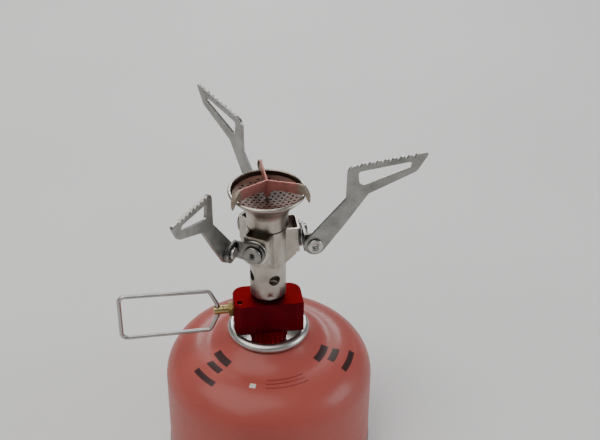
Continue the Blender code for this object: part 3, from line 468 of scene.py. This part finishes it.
def build_canister():
    """The painted shell, the seamed base and the cup with its threaded tower."""
    neck_radius, neck_z, foot, wall = 16.3 * MM, CURL - 2.15 * MM, 3.2 * MM, 0.6 * MM
    outside = [(neck_radius, neck_z)] + dome(0.0) + [(CAN_RADIUS, 30 * MM), (CAN_RADIUS, 16 * MM)]
    outside += arc((CAN_RADIUS - GAP, foot + GAP), GAP, 0, -math.pi / 2, 4)
    inside = [(CAN_RADIUS - wall, foot)] + dome(wall)[::-1] + [(neck_radius, neck_z - wall)]
    shell = mesh_object("painted_shell", spun(outside + inside, 192))
    dress(shell, paint, "canister_paint", "canister", "canister_shell")

    edge, dish = 41.5, 7.0
    upper = [(edge * i / 16, dish * (1 - (i / 16) ** 2) + 1.3) for i in range(17)]
    lower = [(r, z - 0.7) for r, z in upper]
    rim = rounded([(43.0, 2.4, 0.3), (43.5, 2.9, 0.3), (45.1, 2.9, 0.5), (45.1, 0, 0.6), (43.0, 0, 0.5),
                   (42.3, 0.6, 0.3)], 5)
    base = mesh_object("seamed_base", spun(in_mm(upper + rim + lower[::-1]), 160))
    dress(base, bright, "bare_steel", "canister", "canister_base")

    # cup: threaded tower, well and curled rim
    tower = [(2.2, 63.2), (5.0, 63.2)]
    z = 62.9
    while z > 58.4:
        tower += [(5.45, z), (5.5, z - 0.12), (5.12, z - 0.5), (5.12, z - 0.62)]
        z -= THREAD_PITCH
    profile = in_mm(tower + [(5.2, CUP_FLOOR + 0.6), (5.5, CUP_FLOOR + 0.15), (5.9, CUP_FLOOR), (12.2, CUP_FLOOR)])
    profile += arc((12.4 * MM, (CUP_FLOOR + 0.8) * MM), 0.8 * MM, -math.pi / 2, 0, 6)
    skirt = 13.8
    meet = math.acos((skirt - CURL_MAJOR) / CURL_MINOR)
    profile += arc((CURL_MAJOR * MM, CURL), CURL_MINOR * MM, math.pi, -meet, 32)
    profile += in_mm([(skirt, CUP_FLOOR + 0.5), (13.4, CUP_FLOOR - 0.3), (12.7, CUP_FLOOR - 0.6),
                      (4.7, CUP_FLOOR - 0.6), (4.7, 62.5), (2.2, 62.5)])
    cup = mesh_object("curled_cup", spun(profile, 144))
    dress(cup, cup_steel, "bare_steel", "canister", "valve_cup")


def build_spring():
    """The valve's coil spring, built at one length; the real one shortens as the pin is pressed."""
    turns, radius, wire_radius, low, high = 5, 2.4 * MM, 0.3 * MM, CURL - 10.5 * MM, CURL - 3.3 * MM
    steps, corners = 28 * turns, 12
    bm = bmesh.new()
    rings_of_verts = []
    for i in range(steps + 1):
        turn = 2 * math.pi * turns * i / steps
        outward = Vector((math.cos(turn), math.sin(turn), 0))
        middle = outward * radius + Vector((0, 0, low + (high - low) * i / steps))
        rings_of_verts.append([bm.verts.new(middle + outward * x + Vector((0, 0, z)))
                               for x, z in circle((0, 0), wire_radius, corners)])
    for first, last in zip(rings_of_verts, rings_of_verts[1:]):
        for i in range(corners):
            bm.faces.new((first[i - 1], first[i], last[i], last[i - 1]))
    bm.faces.new(rings_of_verts[0])
    bm.faces.new(rings_of_verts[-1])
    spring = mesh_object("pin_spring", bm)
    dress(spring, bright, "bare_steel", "canister", "valve_spring")
    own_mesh(spring)


# ---------------------------------------------------------------- valve block
def build_block():
    """The red valve block with its pin, and the fluted collar under it."""
    left, right, front, back = -15.0, 13.9, -9.4, 5.8
    boss, chamfer, soft = 8.7, 2.4, 0.35
    boss_turn = math.asin(back / boss)
    corners = [(left, front + chamfer, soft), (left + chamfer, front, soft), (right, front, 0.8), (right, back, 5.0)]
    corners += [(x, y, 0) for x, y in arc((0, 0), boss, boss_turn, math.pi - boss_turn, 28)]
    outline = rounded(in_mm(corners + [(left, back, 5.0)]), 12)
    bm = sheet_bmesh([outline], BODY_TOP - BODY_BOTTOM, 0.5 * MM, 4)
    block = mesh_object("anodised_block", bm, Matrix.Translation((0, 0, BODY_BOTTOM)))
    upright = Matrix.Translation((0, 0, CURL))
    pin_place = Matrix.Translation((-12.6 * MM, -5.4 * MM, CURL))
    # bores: gland, spindle, jet, inlet and retaining pin
    holes = [
        (spun(in_mm([(0, 11.0), (3.2, 11.0), (3.2, 14.6), (3.6, 16.0), (0, 16.0)]), 48), SPINDLE_PLACE),
        (spun(in_mm([(0, 5.0), (2.5, 5.0), (2.5, 12.0), (0, 12.0)]), 40), SPINDLE_PLACE),
        (spun(in_mm([(0, 14.0), (2.3, 14.0), (2.3, 17.4), (2.9, 18.4), (0, 18.4)]), 40), upright),
        (spun(in_mm([(0, 2.5), (1.6, 2.5), (1.6, 7.9), (0, 7.9)]), 32), upright),
        (spun(in_mm([(0, 13.9), (0.95, 13.9), (0.95, 17.6), (1.3, 18.1), (0, 18.1)]), 32), pin_place),
    ]
    carve(block, holes)
    even_normals(block)
    dress(block, red, "red_anodised", "stove", "valve_body")

    pin = spun(in_mm(rounded([(0, 14.2, 0), (0.65, 14.2, 0.1), (0.65, 17.1, 0.2), (0, 17.1, 0)], 4)), 32)
    pin = mesh_object("block_pin", pin, pin_place)
    dress(pin, turned_dark, "dark_steel", "stove", "retaining_pin")

    # collar: each flute is a plain crest, then a dip
    flutes, steps, crest = 22, 12, 0.4
    outline = []
    for i in range(flutes * steps):
        share = (i % steps) / steps
        dip = 0.0 if share < crest else math.sin((share - crest) / (1 - crest) * math.pi) ** 0.6
        radius = (8.05 - 0.42 * dip) * MM
        turn = 2 * math.pi * i / (flutes * steps)
        outline.append((radius * math.cos(turn), radius * math.sin(turn)))
    bottom = CURL - 4.2 * MM
    bm = sheet_bmesh([outline, circle((0, 0), 5.85 * MM, 64)], BODY_BOTTOM - GAP - bottom, 0.22 * MM, 3)
    collar = mesh_object("fluted_collar", bm, Matrix.Translation((0, 0, bottom)))
    even_normals(collar)
    # The collar's red is painted lighter than the block's, as painted light against the block's shade.
    dress(collar, collar_red_painted_light, "red_anodised", "stove", "thread_collar")


def build_spindle():
    """The brass gland and spindle, and the wire loop in the spindle's cross hole."""
    hexagon = rounded([(x, y, 0.35 * MM) for x, y in circle((0, 0), 3.4 * MM, 6)], 4)
    head = sheet_bmesh([hexagon, circle((0, 0), 2.2 * MM, 48)], 1.5 * MM, 0.25 * MM, 3)
    bmesh.ops.translate(head, verts=head.verts, vec=(0, 0, 15.3 * MM))
    absorb(head, spun(in_mm([(2.2, 11.4), (2.9, 11.4), (2.9, 15.8), (2.2, 15.8)]), 48))
    gland = mesh_object("hex_gland", head, SPINDLE_PLACE)
    even_normals(gland)
    dress(gland, darker_brass, "brass", "stove", "gland_nut")

    profile = [(0, 5.3), (0.25, 5.3), (1.2, 8.0), (1.9, 8.0), (1.9, 9.6), (1.2, 9.6), (1.2, 11.2), (1.85, 11.4)]
    profile += [(1.9, 11.5), (1.9, 18.9), (1.72, 19.0), (1.72, 19.3), (1.9, 19.4), (1.9, 22.75)]
    profile += arc((1.45, 22.75), 0.45, 0, math.pi / 2, 6) + [(0.5, 23.2), (0.3, 23.0), (0, 23.0)]
    spindle = mesh_object("turned_spindle", spun(in_mm(profile), 64), SPINDLE_PLACE)
    hole = spun(in_mm([(0, -3), (1.2, -3), (1.2, 3), (0, 3)]), 32)
    carve(spindle, [(hole, Matrix.Translation((CROSS_HOLE_X, 0, SPINDLE_Z)))])
    dress(spindle, brass, "brass", "spindle", "spindle")

    upper = [(CROSS_HOLE_X, 0.4 * MM, 0), (CROSS_HOLE_X, 3.0 * MM, 1.5 * MM),
             (-24.9 * MM, 10.2 * MM, 1.8 * MM), (-62.3 * MM, 10.8 * MM, 2.6 * MM)]
    path = rounded(upper + [(x, -z, r) for x, z, r in reversed(upper)], 10)
    curve = bpy.data.curves.new("wire_loop", "CURVE")
    curve.dimensions, curve.bevel_depth, curve.bevel_resolution = "3D", 0.9 * MM, 6
    curve.use_fill_caps = True
    spline = curve.splines.new("POLY")
    spline.points.add(len(path) - 1)
    for point, (x, z) in zip(spline.points, path):
        point.co = (x, 0, SPINDLE_Z + z, 1)
    loop = bpy.data.objects.new("wire_loop", curve)
    bpy.context.scene.collection.objects.link(loop)
    dress(loop, wire, "bare_steel", "handle", "handle_wire")


# ---------------------------------------------------------------- burner
def build_tube():
    """The tube that mixes gas and air."""
    bottom, top, outer, wall, corner = BODY_TOP + GAP, CURL + 57.0 * MM, 7.5 * MM, 0.5 * MM, 1.7 * MM
    heel = (outer - corner, bottom + corner)
    profile = [(3.7 * MM, bottom)] + arc(heel, corner, -math.pi / 2, 0, 10)
    profile += [(outer, CURL + z * MM) for z in (24, 29, 34, 45)] + [(outer, top), (outer - wall, top)]
    profile += arc(heel, corner - wall, 0, -math.pi / 2, 10) + [(3.7 * MM, bottom + wall)]
    tube = mesh_object("air_tube", spun(profile, 128))
    cuts = []  # four air holes, then three shallow dimples
    for i in range(4):
        turn = math.radians(-75) + math.pi / 2 * i
        bore = spun(in_mm([(0, 4), (2.45, 4), (2.45, 10), (0, 10)]), 48)
        cuts.append((bore, radial_matrix(turn, 0, CURL + 29.0 * MM)))
    for turn in (-90, 30, 150):
        ball = bmesh.new()
        bmesh.ops.create_uvsphere(ball, u_segments=48, v_segments=32, radius=3.0 * MM)
        cuts.append((ball, radial_matrix(math.radians(turn), 10.1 * MM, CURL + 20.6 * MM)))
    carve(tube, cuts)
    dress(tube, satin, "satin_steel", "stove", "mixing_tube")


def build_head():
    """The flared cup with its rolled lip. Radii and heights above the cup's rim in mm."""
    socket, floor = 7.8, 53.3
    outside = rounded([(socket, floor, 0), (8.4, floor, 0.15), (8.5, 57.0, 3.0), (8.8, 59.5, 6.0), (9.6, 61.6, 4.0),
                       (11.4, 63.9, 5.0), (13.6, 66.0, 5.0), (14.8, 67.6, 0)], 8)
    lip = arc((15.05, 68.7), 0.75, math.radians(-110), math.radians(180), 24)
    inside = [(14.3, 66.9), (13.1, 66.1), (10.9, 63.9), (9.1, 61.6), (8.3, 59.5), (7.1, 57.6), (7.1, 57.3)]
    profile = [(r * MM, CURL + z * MM) for r, z in outside + lip + inside + [(socket, 57.3)]]
    head = mesh_object("flared_head", spun(profile, 160))
    dress(head, head_steel_inner_shade, "satin_steel", "stove", "burner_head")


def screen_height(radius):
    """Height of the dished screen's underside."""
    return CURL + 66.95 * MM - 1.9 * MM * (1 - (radius / SCREEN_RADIUS) ** 2)


def cell_centre(row, column):
    """Where a hole of the screen's staggered pattern lies."""
    return (column + 0.5 * (row % 2)) * SCREEN_PITCH, row * SCREEN_PITCH * math.sqrt(0.75)


def build_screen():
    """A dished plate with round holes in a staggered pattern, made of ring-shaped cells."""
    corners = 12
    bm = bmesh.new()
    reach = int(SCREEN_RADIUS / SCREEN_PITCH) + 2
    for row in range(-reach, reach + 1):
        for column in range(-reach, reach + 1):
            x, y = cell_centre(row, column)
            if math.hypot(x, y) > SCREEN_RADIUS - 0.75 * SCREEN_PITCH:
                continue
            inner, outer = [], []
            for i in range(corners):
                turn = 2 * math.pi * i / corners + math.pi / 6
                side = (turn + math.pi / 6) % (math.pi / 3) - math.pi / 6
                for loop, radius in ((inner, SCREEN_HOLE), (outer, SCREEN_PITCH / 2 / math.cos(side))):
                    loop.append(bm.verts.new((x + radius * math.cos(turn), y + radius * math.sin(turn), 0)))
            for i in range(corners):
                after = (i + 1) % corners
                bm.faces.new((inner[i], outer[i], outer[after], inner[after]))
            if (row, column) == (0, 0):
                bm.faces.new(inner)  # the wind clip's post stands here
    bmesh.ops.remove_doubles(bm, verts=bm.verts, dist=1e-5)
    cells_edge = ordered_loop([e for e in bm.edges if e.is_boundary and not is_hole_edge(e)])
    rim_edge = [bm.verts.new((x, y, 0)) for x, y in circle((0, 0), SCREEN_RADIUS, 96)]
    for triangle in tessellate_polygon([[v.co for v in rim_edge], [v.co for v in cells_edge]]):
        bm.faces.new([(rim_edge + cells_edge)[i] for i in triangle])
    for vert in bm.verts:
        vert.co.z = screen_height(math.hypot(vert.co.x, vert.co.y))
    thicken(bm, 0.4 * MM)
    piece = mesh_object("perforated_screen", bm)
    # The screen's dark middle is painted shade.
    dress(piece, screen_tint_and_shade, "heated_steel", "stove", "burner_screen")


def ordered_loop(edges):
    """The vertices of one closed chain of edges, in order."""
    neighbours = {}
    for edge in edges:
        for vert in edge.verts:
            neighbours.setdefault(vert, []).append(edge.other_vert(vert))
    loop = [edges[0].verts[0], edges[0].verts[1]]
    while True:
        after = [vert for vert in neighbours[loop[-1]] if vert is not loop[-2]][0]
        if after is loop[0]:
            return loop
        loop.append(after)


def is_hole_edge(edge):
    """True if the edge lies on a hole of the staggered pattern."""
    middle = (edge.verts[0].co + edge.verts[1].co) / 2
    row = round(middle.y / (SCREEN_PITCH * math.sqrt(0.75)))
    column = round(middle.x / SCREEN_PITCH - 0.5 * (row % 2))
    return (middle - Vector((*cell_centre(row, column), 0))).length < SCREEN_HOLE * 1.1


def smooth_path(knots, steps):
    """Catmull-Rom points through knots of any dimension."""
    padded = [knots[0]] + list(knots) + [knots[-1]]
    points = []
    for a, b, c, d in zip(padded, padded[1:], padded[2:], padded[3:]):
        for i in range(steps):
            t = i / steps
            points.append(tuple(0.5 * (2 * q + (r - p) * t + (2 * p - 5 * q + 4 * r - s) * t * t
                                       + (3 * q - p - 3 * r + s) * t ** 3) for p, q, r, s in zip(a, b, c, d)))
    return points + [tuple(knots[-1])]


def claw_back(bm, place):
    """The folded back of one claw of the wind clip, added to bm: a narrow strip over the burner's lip."""
    # distance from the axis, height above the cup's rim and half width, in mm
    knots = [(12.6, 74.5, 0.35), (14.5, 74.22, 0.7), (15.9, 73.45, 1.0), (16.98, 71.95, 1.1),
             (17.72, 70.25, 1.0), (18.02, 68.6, 0.7), (17.85, 67.0, 0.35)]
    bend, across, thickness = 4 * MM, 8, 0.4 * MM
    rows = []
    for r, z, half in smooth_path(knots, 5):
        row = []
        for i in range(across + 1):
            y = (2 * i / across - 1) * half * MM
            x = r * MM - (1 - math.cos(y / bend)) * bend
            row.append(bm.verts.new((x, y, CURL + z * MM)))
        rows.append(row)
    faces = []
    for low, high in zip(rows, rows[1:]):
        faces += [bm.faces.new((low[i], low[i + 1], high[i + 1], high[i])) for i in range(across)]
    bmesh.ops.recalc_face_normals(bm, faces=faces)
    grown = bmesh.ops.solidify(bm, geom=faces, thickness=thickness)
    verts = {v for item in grown["geom"] if isinstance(item, bmesh.types.BMFace) for v in item.verts}
    verts |= {v for face in faces for v in face.verts}
    bmesh.ops.transform(bm, matrix=place, verts=list(verts))


def build_clip():
    """Three fins round a post, each ending in a claw over the lip."""
    thickness = 0.6 * MM
    post = screen_height(0) / MM - CURL / MM + 0.7
    claw = [(12.8, 69.7), (14.2, 69.8), (15.5, 69.8), (16.1, 69.3), (16.4, 68.4), (17.3, 66.95), (17.9, 66.85),
            (18.1, 68.6), (17.8, 70.3), (17.05, 72.0), (15.95, 73.55), (14.5, 74.3), (12.6, 74.55)]
    outline = rounded([(-0.2, post, 0), (0.9, post, 0.2), (1.6, 68.4, 0.8), (3.6, 69.6, 2.0), (8.5, 69.9, 0)], 6)
    outline += smooth_path(claw, 4) + [(-0.2, 73.6)]
    outline = [(r * MM, CURL + z * MM) for r, z in outline]
    bm = bmesh.new()
    for i in range(3):
        turn = CLIP_TURN + 2 * math.pi * i / 3
        fin = sheet_bmesh([outline], thickness, 0.1 * MM, 2)
        bmesh.ops.transform(fin, matrix=side_matrix(turn, -thickness / 2), verts=fin.verts)
        absorb(bm, fin)
        claw_back(bm, Matrix.Rotation(turn, 4, "Z"))
    clip = mesh_object("folded_wind_clip", bm)
    even_normals(clip)
    dress(clip, tinted_clip, "heated_steel", "stove", "wind_clip")


# ---------------------------------------------------------------- bracket and pot supports
def rivet(name, place, inner_head, reach, outer_head, heights, hollow, look, slot, body, node_name):
    """A tubular rivet along local Z: inner head, shank from reach[0] to reach[1], rounded outer head. In mm."""
    low, high = reach
    inner_height, outer_height = heights
    top = high + outer_height
    corners = [
        (0, low - inner_height, 0), (inner_head, low - inner_height, 0.35), (inner_head, low, 0),
        (RIVET_SHANK, low, 0.1), (RIVET_SHANK, high, 0.1), (outer_head, high, 0.12),
        (outer_head, top - 0.1, 0.45), (hollow + 0.75, top, 0.3), (hollow, top - 0.35, 0.15),
        (hollow, high - 0.6, 0.2), (0, high - 0.6, 0)]
    piece = mesh_object(name, spun(in_mm(rounded(corners, 5)), 64), place)
    dress(piece, look, slot, body, node_name)


def washer(name, place, inner, outer, thickness, cup, look, slot, body, node_name):
    """A washer from local z = 0 to thickness, cupped a little like a spring washer. In mm."""
    corners = [(inner, 0, 0.08), (outer - cup, 0, 0.3), (outer, 0.12, 0.08), (outer, thickness, 0.12),
               (inner, thickness, 0.08)]
    piece = mesh_object(name, spun(in_mm(rounded(corners, 4)), 72), place)
    dress(piece, look, slot, body, node_name)


def build_supports():
    """The bracket, and each side's rivets, washers, link and toothed arm."""
    bracket = recut("support_bracket", "lobed_bracket", 0.16 * MM, 40)
    dress(bracket, satin, "satin_steel", "stove", "support_bracket")
    for side, turn in ANGLES.items():
        rivet(f"swivel_rivet_{side}", radial_matrix(turn, TAB_FACE, SWIVEL_Z), 2.8, (-1.2, 2.5), 3.8, (1.1, 1.1),
              0.9, turned_dark, "dark_steel", "stove", f"bracket_rivet_{side}")
        washer(f"cupped_washer_{side}", radial_matrix(turn, TAB_FACE + GAP, SWIVEL_Z), 1.8, 5.5, 0.6, 0.5,
               turned_bright, "bare_steel", "stove", f"spring_washer_{side}")
        link = recut(f"swivel_link_{side}", f"bent_link_{side}", 0.2 * MM, 40)
        dress(link, dark, "dark_steel", f"link_{side}", f"swivel_link_{side}")
        pivot = side_matrix(turn, 0, FOLD_Z, FOLD_RADIUS)
        rivet(f"arm_rivet_{side}", pivot, 2.6, (7.3, 11.2), 3.1, (0.8, 1.0), 1.3, turned_bright, "bare_steel",
              f"link_{side}", f"fold_rivet_{side}")
        washer(f"thin_washer_{side}", pivot @ Matrix.Translation((0, 0, 8.9 * MM)), 1.8, 4.0, 0.4, 0.2,
               turned_bright, "bare_steel", f"link_{side}", f"fold_washer_{side}")
        arm = recut(f"pot_support_{side}", f"toothed_arm_{side}", 0.13 * MM, 25)
        dress(arm, sheet, "satin_steel", f"support_{side}", f"pot_support_{side}")


def dress_inner_nodes():
    """Better materials on the CAD nodes that stay as they are."""
    looks = {"valve_housing": nylon, "valve_gasket": rubber, "seal_ring": rubber, "spindle_seal": rubber,
             "valve_pin": brass, "valve_probe": brass, "jet": brass, "inlet_filter": bronze}
    for name, look in looks.items():
        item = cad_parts[name]
        item.data.materials.clear()
        item.data.materials.append(look)


# ---------------------------------------------------------------- stage
def area_light(name, location, target, size, power, colour=(1, 1, 1)):
    data = bpy.data.lights.new(name, "AREA")
    data.shape, data.size, data.size_y, data.energy, data.color = "RECTANGLE", size[0], size[1], power, colour
    lamp = bpy.data.objects.new(name, data)
    bpy.context.scene.collection.objects.link(lamp)
    aim = Vector(target) - Vector(location)
    lamp.matrix_world = Matrix.Translation(location) @ aim.to_track_quat("-Z", "Y").to_matrix().to_4x4()


def build_stage():
    """A pale floor, a dim even sky and four soft lights."""
    bm = bmesh.new()
    bmesh.ops.create_circle(bm, cap_ends=True, radius=6.0, segments=96)
    floor = mesh_object("floor", bm)
    material, tree, shader = principled("pale_floor", Roughness=0.6)
    tone = blend(tree, span(tree, noise(tree, 6, 3), 0.3, 0.7), (0.68, 0.68, 0.67), (0.72, 0.72, 0.71))
    tree.links.new(tone, shader.inputs["Base Color"])
    floor.data.materials.append(material)

    world = bpy.data.worlds.new("studio")
    bpy.context.scene.world = world
    world.use_nodes = True
    sky = world.node_tree.nodes["Background"]
    sky.inputs["Color"].default_value = (0.80, 0.83, 0.88, 1.0)
    sky.inputs["Strength"].default_value = 0.26
    aim = (0, 0, 0.08)
    area_light("key", (-0.48, -0.22, 1.05), aim, (1.2, 1.2), 12.5, (1.0, 0.97, 0.93))
    area_light("fill", (0.95, -0.25, 0.40), aim, (0.5, 0.5), 4.0, (0.94, 0.97, 1.0))
    area_light("back_left", (-0.10, 0.80, 0.56), aim, (0.26, 0.18), 1.8)
    area_light("back_right", (0.28, 0.78, 0.55), aim, (0.28, 0.18), 2.0)


def build_camera():
    """The photo's viewing angle and framing."""
    data = bpy.data.cameras.new("camera")
    data.lens, data.sensor_width, data.sensor_fit, data.clip_start = 72.0, 36.0, "HORIZONTAL", 0.01
    camera = bpy.data.objects.new("camera", data)
    bpy.context.scene.collection.objects.link(camera)
    camera.location = (-0.0475, -0.3984, 0.3876)
    camera.rotation_euler = (0.97726, -0.00652, -0.14698)
    bpy.context.scene.camera = camera


build_canister()
build_spring()
build_block()
build_spindle()
build_tube()
build_head()
build_screen()
build_clip()
build_supports()
dress_inner_nodes()
build_stage()
build_camera()
